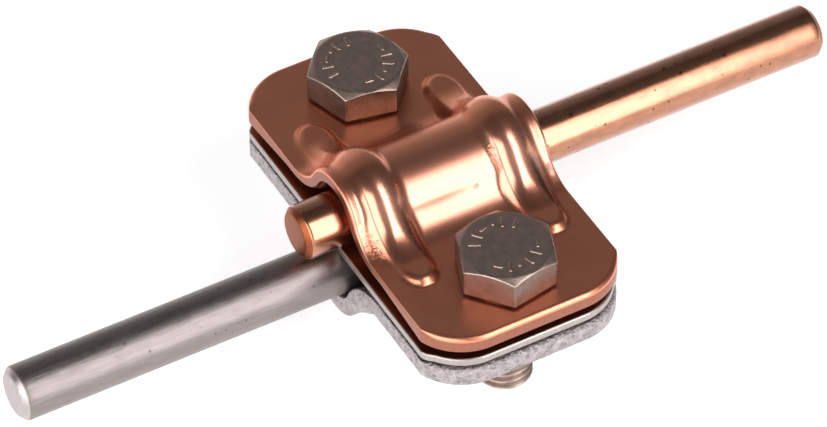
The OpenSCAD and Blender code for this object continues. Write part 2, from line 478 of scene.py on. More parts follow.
def loop_numbers(columns, r0, r1, c0, c1):
    """Corner numbers round a block of a grid, counter-clockwise seen from the outer face."""
    r, c = np.arange(r0, r1 + 1), np.arange(c0, c1 + 1)
    return np.concatenate([r0 * columns + c, r[1:] * columns + c1,
                           r1 * columns + c[-2::-1], r[-2:0:-1] * columns + c0])


def sheet_mesh(outer, inner, out, roll, hole_r, rolled_inside):
    """Points, faces and tags of a sheet with rolled edges and two bolt holes.

    outer and inner are its faces on one grid, and the edges are rolled on one of them. Tags are 0 on the
    outer face, 1 on the sheared edge, 2 on the inner face, 3 in the holes and 4 on the rolled rim.
    """
    rows, columns = outer.shape[:2]
    count = rows * columns
    flat_outer, flat_inner = outer.reshape(-1, 3), inner.reshape(-1, 3)
    points = [flat_outer, flat_inner]
    half = (rows - 1) // 2
    first = ARCH_ROWS + FILLET_ROWS + FLAT_ROWS
    c0, c1 = OUTER_COLUMNS, OUTER_COLUMNS + INNER_COLUMNS
    last = first + BLOCK_ROWS
    blocks = [(half - last, half - first, -BOLT_Y), (half + first, half + last, BOLT_Y)]
    keep = np.ones((rows - 1, columns - 1), bool)
    for r0, r1, _ in blocks:
        keep[r0:r1, c0:c1] = False
    face = grid_faces(rows, columns, keep)
    quads, tags = [face, face[:, ::-1] + count], [np.zeros(len(face)), np.full(len(face), 2)]

    def join(loop, rings, bands, outwards):
        """Joins the two faces along a loop by rings of points, with a tag for each band between rings."""
        start = sum(len(part) for part in points)
        numbers = start + np.arange(len(rings) * len(loop)).reshape(len(rings), -1)
        quads.append(ring_faces([loop, *numbers, loop + count], outwards))
        tags.append(np.repeat(bands, len(loop)))
        points.extend(rings)

    rim = loop_numbers(columns, 0, rows - 1, 0, columns - 1)
    rim_row, rim_column = rim // columns, rim % columns
    rim_out = np.zeros((len(rim), 3))
    rim_out[:, 0] = out[rim_row, 0] * np.where(rim_column == 0, -1, 1)
    rim_out[:, 1] = out[rim_row, 1]
    ends = (rim_row == 0) | (rim_row == rows - 1)
    rim_out[ends] = np.stack([0 * rim_row[ends], np.sign(rim_row[ends] - half), 0 * rim_row[ends]], -1)
    rolled, other = (flat_inner, flat_outer) if rolled_inside else (flat_outer, flat_inner)
    edge = rolled_rings(rolled[rim], other[rim], rim_out, roll[rim_row], BURR_ROUND)
    bands = [4] * ROLL_STEPS + [1] * (len(edge) + 1 - ROLL_STEPS)
    if rolled_inside:
        edge, bands = edge[::-1], bands[::-1]
    join(rim, edge, bands, True)

    field = len(FIELD_STEPS)
    for r0, r1, centre_y in blocks:
        loop = loop_numbers(columns, r0, r1, c0, c1)
        above, under = flat_outer[loop], flat_inner[loop]
        centre = np.array([0, centre_y, 0])
        radial = unit((above - centre) * np.array([1, 1, 0]))
        wide = centre + radial * (hole_r + HOLE_ROUND)
        top, bottom = (wide + np.array([0, 0, 1]) * face_points for face_points in (above, under))
        steps = [above + (top - above) * s for s in FIELD_STEPS]
        steps += rolled_rings(top, bottom, -radial, np.full(len(loop), HOLE_ROUND), BURR_ROUND)
        steps += [under + (bottom - under) * s for s in FIELD_STEPS[::-1]]
        join(loop, steps, [0] * field + [3] * (len(steps) + 1 - 2 * field) + [2] * field, False)
    return np.concatenate(points), np.concatenate(quads), np.concatenate(tags)


def pressed_plate(seat, thick, hole_r, rolled_inside):
    """A pressed plate with its outer flat at height 0, as sheet_mesh gives it.

    The plate that isn't rolled inside is the upper one, with a swollen outer face and thin rims.
    """
    saddle, mouth = pressed_lines(seat, thick)
    line = tuple((a + b) / 2 for a, b in zip(saddle, mouth))
    rays, out, roll = plate_grid(line, 0.0 if rolled_inside else LIP_ROLL)
    swollen = not rolled_inside
    outer = leave_form(*rays, lambda x, y, z: pressing_distance(x, y, z, seat, thick, 0.0, swollen))
    inner = leave_form(*rays, lambda x, y, z: pressing_distance(x, y, z, seat, thick, thick))
    if swollen:
        inner = thin_rims(outer, inner, thick)
    return sheet_mesh(outer, inner, out, roll, hole_r, rolled_inside)


def flat_plate(thick, hole_r):
    """A flat plate with its upper face at height 0, on the pressed plates' plan."""
    (x, y, z, _, _), out, roll = plate_grid(FLAT_LINE)
    upper = np.stack([x, y, 0 * z], -1)
    lower = upper - np.array([0, 0, thick])
    return sheet_mesh(upper, lower, out, np.minimum(roll, thick / 4), hole_r, False)


# Bolts

def lathe(rings):
    """Points, faces and end fans of a closed surface from stacked rings (rows, angles, 3)."""
    rows, angles = rings.shape[:2]
    points = np.concatenate([rings.reshape(-1, 3), rings[0].mean(0)[None], rings[-1].mean(0)[None]])
    numbers = np.arange(rows * angles).reshape(rows, angles)
    quads = ring_faces(list(numbers), False)
    low, high = numbers[0], numbers[-1]
    fan_low = np.stack([np.roll(low, -1), low, np.full(angles, rows * angles)], -1)
    fan_high = np.stack([high, np.roll(high, -1), np.full(angles, rows * angles + 1)], -1)
    return points, quads, [fan_low, fan_high]


def hex_angles(per_side):
    """Angles round a hexagon, closer together towards its corners."""
    s = (np.arange(per_side) + 0.5) / per_side * 2 - 1
    sector = math.pi / 6 * (1.5 * s - 0.5 * s ** 3)
    return (np.arange(6)[:, None] * math.pi / 3 + math.pi / 6 + sector[None]).ravel()


def hex_radius(angle, inradius, rounding):
    """Distance of a hexagon's edge from its centre, with corners of that rounding.

    On the flats it is inradius / cos of the angle from the flat's middle, and at a corner it is the far side
    of the rounding circle: c cos d + sqrt(r^2 - c^2 sin^2 d).
    """
    off = np.abs(angle % (math.pi / 3) - math.pi / 6)
    centre = (inradius - rounding) / math.cos(math.pi / 6)
    limit = math.atan((inradius - rounding) * math.tan(math.pi / 6) / inradius)
    corner = math.pi / 6 - off
    inside = np.maximum(rounding ** 2 - (centre * np.sin(corner)) ** 2, 0)
    round_part = centre * np.cos(corner) + np.sqrt(inside)
    return np.where(off <= limit, inradius / np.cos(off), round_part)


def head_rings():
    """Rings of a hexagon head, from its bearing face over its sides and chamfer to the middle of its top."""
    angle = hex_angles(HEAD_PER_SIDE)
    reach = hex_radius(angle, HEAD_AF / 2, HEAD_CORNER_ROUND)
    slope = math.tan(HEAD_CHAMFER)
    edge = HEAD_H - (reach - HEAD_TOP_R) * slope

    def ring(radius, height):
        """A ring of the profile: radius and height at each angle."""
        return np.stack([np.broadcast_to(radius, angle.shape), np.broadcast_to(height, angle.shape)], -1)

    low, high = BEARING_H + UNDER_SOFT, edge - OVER_SOFT
    profile = [ring(r, 0) for r in BEARING_RINGS]
    profile += list(bezier(ring(BEARING_R - BEARING_SOFT, 0), ring(BEARING_R, 0),
                           ring(BEARING_R, BEARING_SOFT), 4))
    profile += [ring(BEARING_R, BEARING_H - HAIR), ring(BEARING_R + HAIR, BEARING_H)]
    profile += list(bezier(ring(reach - UNDER_SOFT, BEARING_H), ring(reach, BEARING_H), ring(reach, low), 4))
    profile += [ring(reach, low + (high - low) * share) for share in SIDE_SHARES]
    profile += list(bezier(ring(reach, high), ring(reach, edge),
                           ring(reach - OVER_SOFT, edge + OVER_SOFT * slope), 5))
    profile += list(bezier(ring(HEAD_TOP_R + TOP_OUT, HEAD_H - TOP_OUT * slope), ring(HEAD_TOP_R, HEAD_H),
                           ring(HEAD_TOP_R - TOP_IN, HEAD_H), 4))
    profile += [ring(r, HEAD_H) for r in TOP_RINGS]
    profile = np.array(profile)
    return np.stack([profile[..., 0] * np.cos(angle), profile[..., 0] * np.sin(angle), profile[..., 1]], -1)


def stroke_rings(path):
    """Rings of a raised stroke along a path on a head's top: an ellipse across, rounded off at its ends."""
    cap = np.radians(MARK_CAP)[:, None]
    first, last = unit(path[1] - path[0]), unit(path[-1] - path[-2])
    centre = np.concatenate([path[0] - first * MARK_HALF_W * np.sin(cap), path,
                             path[-1] + last * MARK_HALF_W * np.sin(cap[::-1])])
    share = np.concatenate([np.cos(cap[:, 0]), np.ones(len(path)), np.cos(cap[::-1, 0])])[:, None]
    along = unit(np.gradient(centre, axis=0))
    angle = circle(MARK_ANGLES)
    wide = share * MARK_HALF_W * np.cos(angle)
    return np.stack([centre[:, :1] - along[:, 1:] * wide, centre[:, 1:] + along[:, :1] * wide,
                     HEAD_H + share * MARK_H * np.sin(angle)], -1)


def mark_paths():
    """Plain marks on a head's top, as paths: radial bars, dashes along the rim and dots, in two groups.

    A mark's points are given by a step along the rim and a step outwards, about its own angle.
    """
    bar = [(0, -0.65), (0, 0.65)]
    dash = [(-0.45, 0), (0.45, 0)]
    dot = [(0, -0.02), (0, 0.02)]
    groups = [(142, bar), (118, bar), (97, dash), (76, dot), (58, bar), (34, bar), (-36, dash), (-58, bar),
              (-82, bar), (-104, dot), (-122, bar), (-144, dash)]
    paths = []
    for degrees, mark in groups:
        centre = math.radians(degrees)
        steps = np.array(mark)
        out = np.array([math.cos(centre), math.sin(centre)])
        rim = np.array([-out[1], out[0]])
        corners = MARK_R * out + steps[:, :1] * rim + steps[:, 1:] * out
        at = np.linspace(0, len(corners) - 1, MARK_POINTS * len(corners))
        whole = np.arange(len(corners))
        paths.append(np.stack([np.interp(at, whole, corners[:, axis]) for axis in (0, 1)], -1))
    return paths


def thread_rings():
    """Rings of a right-hand thread: its radius falls from crest to root with the share of a pitch."""
    angle = circle(THREAD_ANGLES)
    height = np.linspace(-BOLT_L, THREAD_TOP, THREAD_ROWS)[:, None]
    share = np.abs((height / THREAD_PITCH - angle / (2 * math.pi)) % 1 - 0.5) * 2
    radius = THREAD_R - THREAD_DEPTH * (1 - np.clip((share - ROOT_SHARE) / FLANK_SHARE, 0, 1))
    radius = np.minimum(radius, THREAD_R - TIP_CHAMFER + (height + BOLT_L))
    return np.stack([radius * np.cos(angle), radius * np.sin(angle), height + 0 * angle], -1)


def stack_shells(shells):
    """One set of points and faces from several closed shells."""
    points, quads, fans, total = [], [], [], 0
    for shell_points, shell_quads, shell_fans in shells:
        points.append(shell_points)
        quads.append(shell_quads + total)
        fans += [fan + total for fan in shell_fans]
        total += len(shell_points)
    return np.concatenate(points), np.concatenate(quads), fans


def steep_tags(points, quads, fans):
    """Tags of faces, quads first: 1 where the direction rises less than SIDE_RISE, and else 0."""
    a, b, c, d = np.moveaxis(points[quads], 1, 0)
    e, f, g = np.moveaxis(points[np.concatenate(fans)], 1, 0)
    normals = np.concatenate([np.cross(c - a, d - b), np.cross(f - e, g - e)])
    return normals[:, 2] < SIDE_RISE * np.linalg.norm(normals, axis=1)


def turned(points, angle):
    """Points turned about the Z axis."""
    c, s = math.cos(angle), math.sin(angle)
    return points @ np.array([[c, s, 0], [-s, c, 0], [0, 0, 1]])


# Conductors

def cut_tags(rings):
    """Tags of a bar's faces, as lathe orders them: 1 on its end faces and chamfers, 0 along its length."""
    rows, angles = rings.shape[:2]
    band = np.arange(rows - 1)
    ends = (band < CUT_BANDS) | (band >= rows - 1 - CUT_BANDS)
    return np.concatenate([np.repeat(ends, angles), np.ones(2 * angles)])


def conductor_rings(low, high):
    """Rings of a round bar along X with chamfered, softly broken ends."""
    radius = (high[2] - low[2]) / 2
    axis_z = (high[2] + low[2]) / 2
    length = high[0] - low[0]
    c, soft = CONDUCTOR_CHAMFER, CHAMFER_SOFT
    slant = soft * 0.7
    near = np.concatenate([
        [[0.0, END_RING_R]],
        bezier([0, radius - c - soft], [0, radius - c], [slant, radius - c + slant], 4),
        bezier([c - slant, radius - slant], [c, radius], [c + soft, radius], 4),
    ])
    middle = np.stack([np.linspace(c + 1, length / 2, CONDUCTOR_ROWS), np.full(CONDUCTOR_ROWS, radius)], -1)
    half = np.concatenate([near, middle])
    other = half[::-1] * np.array([-1, 1]) + np.array([length, 0])
    profile = np.concatenate([half, other[1:]])
    angle = circle(CONDUCTOR_ANGLES)
    x = low[0] + profile[:, :1] + 0 * angle
    return np.stack([x, profile[:, 1:] * np.cos(angle), axis_z + profile[:, 1:] * np.sin(angle)], -1)


# Materials

class Wiring:
    """Adds nodes to a node tree and links them."""

    def __init__(self, tree):
        self.tree = tree

    def add(self, kind, inputs=None, **settings):
        """A node with settings. Inputs are values or the sockets that feed them."""
        node = self.tree.nodes.new(kind)
        for name, value in settings.items():
            setattr(node, name, value)
        for name, value in (inputs or {}).items():
            if isinstance(value, bpy.types.NodeSocket):
                self.tree.links.new(value, node.inputs[name])
            else:
                node.inputs[name].default_value = value
        return node

    def math(self, operation, a, b=0.0, c=0.0):
        """The result of a sum on one, two or three values."""
        return self.add("ShaderNodeMath", {0: a, 1: b, 2: c}, operation=operation).outputs[0]

    def vector(self, operation, a, b=(0, 0, 0)):
        """The result of a sum on two vectors: a vector, or a value for a length."""
        node = self.add("ShaderNodeVectorMath", {0: a, 1: b}, operation=operation)
        return node.outputs["Value"] if operation == "LENGTH" else node.outputs["Vector"]

    def spread(self, value, low, high):
        """0 where a value is at low or beyond, 1 where it is at high or beyond, and smooth between them."""
        inputs = {"Value": value, "From Min": low, "From Max": high, "To Min": 0.0, "To Max": 1.0}
        return self.add("ShaderNodeMapRange", inputs, interpolation_type="SMOOTHSTEP").outputs["Result"]

    def blend(self, share, one, other):
        """Two colours mixed by a share."""
        return self.add("ShaderNodeMix", {0: share, 6: one, 7: other}, data_type="RGBA").outputs[2]


def effect(name, inputs, output, build):
    """A node group with named inputs (name, kind, value) and one output value, filled in by build."""
    tree = bpy.data.node_groups.new(name, "ShaderNodeTree")
    for label, kind, value in inputs:
        socket = tree.interface.new_socket(label, in_out="INPUT", socket_type="NodeSocket" + kind)
        if kind == "Float":
            socket.default_value = value
    tree.interface.new_socket(output, in_out="OUTPUT", socket_type="NodeSocketFloat")
    wiring = Wiring(tree)
    start = wiring.add("NodeGroupInput")
    wiring.add("NodeGroupOutput", {output: build(wiring, start.outputs)})
    return tree


def build_grain(w, given):
    """Cloudy grain: noise about 0.5, its contrast raised, over spots of a given size."""
    scale = w.math("DIVIDE", 1.0, given["Size"])
    inputs = {"Vector": given["Place"], "Scale": scale, "Detail": 4.0, "Roughness": 0.6}
    noise = w.add("ShaderNodeTexNoise", inputs)
    away = w.math("MULTIPLY", w.math("SUBTRACT", noise.outputs["Fac"], 0.5), given["Contrast"])
    return w.add("ShaderNodeClamp", {"Value": w.math("ADD", away, 0.5)}).outputs[0]


def build_specks(w, given):
    """Scattered dots: cells of a given spacing, of which a share holds a dot of a given radius."""
    scale = w.math("DIVIDE", 1.0, given["Spacing"])
    cells = w.add("ShaderNodeTexVoronoi", {"Vector": given["Place"], "Scale": scale})
    pick = w.add("ShaderNodeSeparateColor", {0: cells.outputs["Color"]})
    radius = w.math("MULTIPLY", given["Radius"], w.math("ADD", pick.outputs[1], 0.4))
    away = w.math("MULTIPLY", cells.outputs["Distance"], given["Spacing"])
    dot = w.spread(w.math("DIVIDE", away, radius), 1.0, 0.5)
    return w.math("MULTIPLY", dot, w.math("LESS_THAN", pick.outputs[0], given["Share"]))


def build_patch(w, given):
    """A patch about a centre: 1 inside an ellipsoid of given half sizes, fading over a ragged border."""
    off = w.vector("DIVIDE", w.vector("SUBTRACT", given["Place"], given["Centre"]), given["Half"])
    noise = w.add("ShaderNodeTexNoise", {"Vector": given["Place"], "Scale": 1.1, "Detail": 3.0})
    ragged = w.math("MULTIPLY", w.math("SUBTRACT", noise.outputs["Fac"], 0.5), given["Ragged"])
    return w.spread(w.math("ADD", w.vector("LENGTH", off), ragged), 1.1, 0.55)


def build_creases(w, given):
    """Fine creases: wavy bands across a direction, given as waves per millimetre."""
    noise = w.add("ShaderNodeTexNoise", {"Vector": given["Place"], "Scale": 0.7, "Detail": 2.0})
    along = w.add("ShaderNodeVectorMath", {0: given["Place"], 1: given["Waves"]}, operation="DOT_PRODUCT")
    phase = w.math("ADD", along.outputs["Value"], w.math("MULTIPLY", noise.outputs["Fac"], given["Wander"]))
    wave = w.math("SINE", w.math("MULTIPLY", phase, 2 * math.pi))
    return w.math("MULTIPLY_ADD", wave, 0.5, 0.5)


PLACE = ("Place", "Vector", None)
GRAIN = effect("grain", [PLACE, ("Size", "Float", 1.0), ("Contrast", "Float", 1.5)], "Value", build_grain)
SPECKS = effect(
    "specks", [PLACE, ("Spacing", "Float", 2.0), ("Radius", "Float", 0.2), ("Share", "Float", 0.3)],
    "Mask", build_specks)
PATCH = effect(
    "patch", [PLACE, ("Centre", "Vector", None), ("Half", "Vector", None), ("Ragged", "Float", 0.8)],
    "Mask", build_patch)
CREASES = effect(
    "creases", [PLACE, ("Waves", "Vector", None), ("Wander", "Float", 1.0)],
    "Value", build_creases)

# The clear film on copper: its index of refraction, and its roughness on the sheet and on the conductor
FILM_IOR = 1.8
SHEET_FILM = 0.27
WIRE_FILM = 0.17

# The pressed sheet: its roughness, what a burnished patch takes from it and a stain adds, and its bump
SHEET_ROUGHNESS = 0.31
BURNISH = 0.07
STAIN_ROUGHNESS = 0.25
SHEET_BUMP_MM = 0.006

# Heights on the sheet in shares of that bump
FINE_HEIGHT = 0.35
CREASE_HEIGHT = 4.0
PIT_HEIGHT = 10.0

# Colours of the marks on it, some of them painted light, and the distances from the painted dark line
# at which it is gone and full
# A thin dark line on each bead's left flank: a painted reflection of the dark gap between the lamps
DARK_REFLECTION_COLOUR = (0.10, 0.04, 0.02, 1)
# Painted shade for the valleys beside the beads
PAINTED_SHADE_COLOUR = (0.22, 0.085, 0.05, 1)
STAIN_COLOUR = (0.20, 0.07, 0.06, 1)
LINE_FADE = (0.13, 0.05)


class Finish:
    """A metal material on Object coordinates in millimetres, with its effects."""

    def __init__(self, name):
        self.material = bpy.data.materials.new(name)
        self.material.use_nodes = True
        self.wiring = Wiring(self.material.node_tree)
        self.shader = self.material.node_tree.nodes["Principled BSDF"]
        self.shader.inputs["Metallic"].default_value = 1
        place = self.wiring.add("ShaderNodeTexCoord").outputs["Object"]
        self.place = self.wiring.vector("MULTIPLY", place, (1 / MM, 1 / MM, 1 / MM))

    def use(self, group, place=None, **values):
        """The output of a shared effect, with its own values."""
        inputs = {"Place": place or self.place}
        inputs.update({name.capitalize(): value for name, value in values.items()})
        return self.wiring.add("ShaderNodeGroup", inputs, node_tree=group).outputs[0]

    def stretched(self, x, y, z):
        """The place with its axes stretched, for streaks."""
        return self.wiring.vector("MULTIPLY", self.place, (x, y, z))

    def coat(self, weight, roughness):
        """A thin clear film of a given weight and roughness, which mirrors lamps in white."""
        self.shader.inputs["Coat IOR"].default_value = FILM_IOR
        self.shader.inputs["Coat Roughness"].default_value = roughness
        self.wiring.tree.links.new(weight, self.shader.inputs["Coat Weight"])

    def feed(self, colour, roughness, height, depth_mm):
        """Links colour, roughness and bump height into the shader."""
        inputs = {"Strength": 1.0, "Distance": depth_mm * MM, "Height": height}
        bump = self.wiring.add("ShaderNodeBump", inputs).outputs["Normal"]
        for name, socket in (("Base Color", colour), ("Roughness", roughness), ("Normal", bump)):
            self.wiring.tree.links.new(socket, self.shader.inputs[name])
        return self.material


def copper_sheet(name, dark, light, polished=(), filmed=None, reflection_lines=(), marks=()):
    """Pressed copper: slightly cloudy, between a dark and a light colour, and satin.

    polished lists smoother patches, the lines list the stretches with a thin dark line square to X, painted
    as the reflection of the dark gap between the lamps, and marks the pits, creases, painted shade in valleys
    and stains. filmed is the patch with a clear film, chosen for the white of the photograph's highlights.
    """
    f = Finish(name)
    w = f.wiring
    cloud = f.use(GRAIN, size=7.0, contrast=2.2)
    fine = f.use(GRAIN, size=0.5, contrast=1.6)
    colour = w.blend(cloud, (*dark, 1), (*light, 1))
    rough = w.math("MULTIPLY_ADD", fine, 0.06, SHEET_ROUGHNESS)
    for centre, half in polished:
        mask = f.use(PATCH, centre=centre, half=half, ragged=0.2)
        rough = w.math("SUBTRACT", rough, w.math("MULTIPLY", mask, BURNISH))
    if filmed:
        f.coat(f.use(PATCH, centre=filmed[0], half=filmed[1], ragged=0.2), SHEET_FILM)
    along = w.add("ShaderNodeSeparateXYZ", {0: f.place}).outputs["X"]
    # Painted reflection: a thin dark line where the dark gap between the lamps would mirror
    for centre, half in reflection_lines:
        mask = f.use(PATCH, centre=centre, half=half, ragged=0.0)
        away = w.math("ABSOLUTE", w.math("SUBTRACT", along, centre[0]))
        near = w.math("MULTIPLY", w.spread(away, *LINE_FADE), mask)
        colour = w.blend(w.math("MULTIPLY", near, 0.8), colour, DARK_REFLECTION_COLOUR)
    height = w.math("MULTIPLY", fine, FINE_HEIGHT)
    for kind, centre, half, waves in marks:
        mask = f.use(PATCH, centre=centre, half=half)
        if kind == "crease":
            crease = w.math("MULTIPLY", f.use(CREASES, waves=waves, wander=1.6), CREASE_HEIGHT)
            height = w.math("ADD", height, w.math("MULTIPLY", mask, crease))
        elif kind == "pits":
            pit = w.math("MULTIPLY", f.use(GRAIN, size=0.6, contrast=2.8), PIT_HEIGHT)
            height = w.math("ADD", height, w.math("MULTIPLY", mask, pit))
        # Painted shade: the copper darkened over a patch in a valley
        elif kind == "painted_shade":
            colour = w.blend(w.math("MULTIPLY", mask, 0.75), colour, PAINTED_SHADE_COLOUR)
        else:
            part = w.math("MULTIPLY", mask, f.use(GRAIN, size=0.8, contrast=2.5))
            colour = w.blend(part, colour, STAIN_COLOUR)
            rough = w.math("MULTIPLY_ADD", part, STAIN_ROUGHNESS, rough)
    return f.feed(colour, rough, height, SHEET_BUMP_MM)


def sheared(name, dark, light, rough):
    """A cut edge or end: matt, and streaked across the sheet or down the cut."""
    f = Finish(name)
    w = f.wiring
    streak = f.use(GRAIN, place=f.stretched(1, 1, 0.15), size=0.35, contrast=2.0)
    colour = w.blend(streak, (*dark, 1), (*light, 1))
    return f.feed(colour, w.math("MULTIPLY_ADD", streak, 0.1, rough), streak, 0.008)


def galvanised():
    """Hot-dip zinc on the lower plate: pale, matt and grainy."""
    f = Finish("galvanised_steel")
    w = f.wiring
    coarse = f.use(GRAIN, size=1.1, contrast=3.0)
    fine = f.use(GRAIN, size=0.45, contrast=3.2)
    grey = w.blend(coarse, (0.20, 0.175, 0.18, 1), (0.54, 0.475, 0.48, 1))
    colour = w.blend(w.math("MULTIPLY", fine, 0.6), grey, (0.70, 0.62, 0.63, 1))
    return f.feed(colour, w.math("MULTIPLY_ADD", fine, 0.12, 0.36), w.math("ADD", coarse, fine), 0.11)


def stainless(name, dark, light):
    """Cold-forged stainless steel: satin, warm grey and finely mottled, between a dark and a light colour."""
    f = Finish(name)
    w = f.wiring
    fine = f.use(GRAIN, size=0.35, contrast=2.0)
    cloud = f.use(GRAIN, size=1.4, contrast=2.6)
    colour = w.blend(cloud, (*dark, 1), (*light, 1))
    return f.feed(colour, w.math("MULTIPLY_ADD", fine, 0.1, 0.35), fine, 0.018)


def drawn_copper():
    """Drawn copper conductor: satin, cloudy, faintly streaked along its length, with small dark specks."""
    f = Finish("drawn_copper")
    w = f.wiring
    streak = f.use(GRAIN, place=f.stretched(0.06, 1, 1), size=0.5, contrast=1.8)
    speck = f.use(SPECKS, spacing=1.5, radius=0.3, share=0.5)
    cloud = f.use(GRAIN, place=f.stretched(0.5, 1, 1), size=1.3, contrast=2.4)
    copper = w.blend(streak, (0.50, 0.18, 0.072, 1), (0.60, 0.225, 0.095, 1))
    copper = w.blend(w.math("MULTIPLY", cloud, 0.75), copper, (0.30, 0.10, 0.044, 1))
    colour = w.blend(w.math("MULTIPLY", speck, 0.75), copper, (0.12, 0.05, 0.03, 1))
    f.coat(w.math("SUBTRACT", 1.0, speck), WIRE_FILM)
    return f.feed(colour, w.math("MULTIPLY_ADD", streak, 0.08, 0.19), streak, 0.005)


def zinc_wire():
    """Zinc-coated conductor: satin warm grey with drawing streaks and small dark specks."""
    f = Finish("zinc_coated_wire")
    w = f.wiring
    streak = f.use(GRAIN, place=f.stretched(0.08, 1, 1), size=0.4, contrast=2.4)
    cloud = f.use(GRAIN, size=1.2, contrast=2.0)
    speck = f.use(SPECKS, spacing=1.6, radius=0.27, share=0.35)
    grey = w.blend(streak, (0.24, 0.208, 0.203, 1), (0.33, 0.286, 0.278, 1))
    grey = w.blend(w.math("MULTIPLY", cloud, 0.3), grey, (0.38, 0.33, 0.32, 1))
    colour = w.blend(w.math("MULTIPLY", speck, 0.6), grey, (0.12, 0.10, 0.095, 1))
    return f.feed(colour, w.math("MULTIPLY_ADD", cloud, 0.1, 0.36), w.math("ADD", streak, cloud), 0.012)


def on_clamp(x, y, z):
    """A place given from the clamp's middle and the upper plate's flat, in the frame."""
    return CLAMP_X + x, y, UPPER_FLAT + z


BURNISHED = [(on_clamp(side * BEAD_X - 2.2, -8, 4), (2.4, 14, 10)) for side in (-1, 1)]
BURNISHED += [(on_clamp(side * BEAD_X, 0, 4), (4.2, 22, 10)) for side in (-1, 1)]
FILMED = (on_clamp(0, -5.6, 3), (22, 6.6, 9))
# Painted reflection lines, both on a bead's left flank, where the dark gap between the lamps would mirror
REFLECTION_LINES = [(on_clamp(side * BEAD_X - 2.4, -7, 4), (1, 5.5, 6)) for side in (-1, 1)]
# Marks from the press and stains, with painted shade in two valleys among them
PRESS_MARKS_AND_SHADE = [
    ("pits", on_clamp(-14.0, -8.6, 1.2), (1.1, 4.4, 3.2), None),
    ("pits", on_clamp(7.3, -4.5, 4.4), (0.7, 2.4, 2.4), None),
    ("pits", on_clamp(1.5, 9.6, 0.4), (4.6, 0.6, 0.6), None),
    ("crease", on_clamp(-1.0, -7.8, 1.5), (4.6, 0.9, 1.1), (0.05, 0.6, 0.6)),
    # Painted shade in the valleys right of each bead: the left bead's inner foot and the right bead's outer
    # side
    ("painted_shade", on_clamp(-8.0, -9.8, 2.0), (0.9, 6.6, 5.0), None),
    ("painted_shade", on_clamp(12.6, -9.8, 2.0), (0.9, 6.6, 5.0), None),
    ("stain", on_clamp(14.6, -8.4, 1.0), (0.9, 2.6, 1.8), None),
    ("stain", on_clamp(3.5, -6.7, 2.7), (0.6, 0.4, 0.5), None),
]
PRESSED_COPPER = copper_sheet("pressed_copper", (0.80, 0.295, 0.175), (0.90, 0.345, 0.21), BURNISHED, FILMED,
                              REFLECTION_LINES, PRESS_MARKS_AND_SHADE)
# Painted shade: a darker copy of the pressed copper for the faces in the gaps between the plates
SHADED_COPPER = copper_sheet("copper_painted_shade", (0.36, 0.13, 0.075), (0.45, 0.165, 0.095))
SHEARED_COPPER = sheared("sheared_copper", (0.35, 0.135, 0.09), (0.44, 0.18, 0.12), 0.36)
CUT_COPPER = sheared("cut_copper", (0.28, 0.075, 0.03), (0.37, 0.11, 0.045), 0.34)
CUT_STEEL = sheared("cut_steel", (0.46, 0.40, 0.40), (0.60, 0.53, 0.53), 0.34)
CLAD_EDGE = sheared("clad_edge", (0.42, 0.365, 0.345), (0.56, 0.495, 0.47), 0.34)
GALVANISED = galvanised()
STAINLESS = stainless("stainless_steel", (0.40, 0.295, 0.255), (0.53, 0.39, 0.34))
# Painted shade: a darker copy of the stainless steel for the bolts' sides, undersides and threads
SHADED_STAINLESS = stainless("stainless_painted_shade", (0.22, 0.175, 0.155), (0.31, 0.245, 0.215))
DRAWN_COPPER = drawn_copper()
ZINC_WIRE = zinc_wire()


# Pieces

def place(points, x=0.0, y=0.0, z=0.0):
    """Points moved by a step in millimetres."""
    return points + np.array([x, y, z])


# Material numbers by tag: outer face, sheared edge, inner face, holes, rolled rim
UPPER_LOOKS = np.array([0, 1, 2, 1, 0])
CLAD_LOOKS = np.array([0, 1, 1, 1, 1])

upper_seat = COPPER_HIGH[2] + SEAT_CLEARANCE - UPPER_FLAT
points, quads, tags = pressed_plate(upper_seat, UPPER_T, PLAIN_HOLE_R, False)
add_piece("upper_pressing", place(points, CLAMP_X, 0, UPPER_FLAT), quads, "upper_jaw", "upper_plate",
          [PRESSED_COPPER, SHEARED_COPPER, SHADED_COPPER], tags=UPPER_LOOKS[tags.astype(int)])

lower_flat = LOWER_HIGH[2] - LOWER_T
lower_seat = lower_flat - STEEL_LOW[2] + SEAT_CLEARANCE
points, quads, _ = pressed_plate(lower_seat, LOWER_T, THREADED_HOLE_R, True)
add_piece("lower_pressing", place(points * np.array([1, 1, -1]), CLAMP_X, 0, lower_flat), quads[:, ::-1],
          "lower_jaw", "lower_plate", [GALVANISED])

points, quads, tags = flat_plate(MIDDLE_HIGH[2] - MIDDLE_LOW[2], PLAIN_HOLE_R)
add_piece("clad_plate", place(points, CLAMP_X, 0, MIDDLE_HIGH[2]), quads, "lower_jaw", "middle_plate",
          [SHADED_COPPER, CLAD_EDGE], tags=CLAD_LOOKS[tags.astype(int)])

for name, axis, turn in (("front_bolt", FRONT_AXIS, FRONT_TURN), ("rear_bolt", REAR_AXIS, REAR_TURN)):
    shells = [lathe(thread_rings()), lathe(turned(head_rings(), turn))]
    shells += [lathe(turned(stroke_rings(path), turn)) for path in mark_paths()]
    points, quads, fans = stack_shells(shells)
    add_piece(name + "_threaded", place(points, *axis), quads, name, name,
              [STAINLESS, SHADED_STAINLESS], tags=steep_tags(points, quads, fans), fans=fans)

for name, low, high, node, slot, materials in (
        ("copper_wire", COPPER_LOW, COPPER_HIGH, "copper_conductor", "drawn_copper",
         [DRAWN_COPPER, CUT_COPPER]),
        ("steel_wire", STEEL_LOW, STEEL_HIGH, "steel_conductor", "zinc_coated_wire",
         [ZINC_WIRE, CUT_STEEL])):
    rings = conductor_rings(low, high)
    points, quads, fans = lathe(rings)
    add_piece(name, points, quads, "lower_jaw", node, materials, tags=cut_tags(rings), fans=fans)


# Studio

FLOOR_HALF = 4.0
FLOOR_GLOW = 0.6

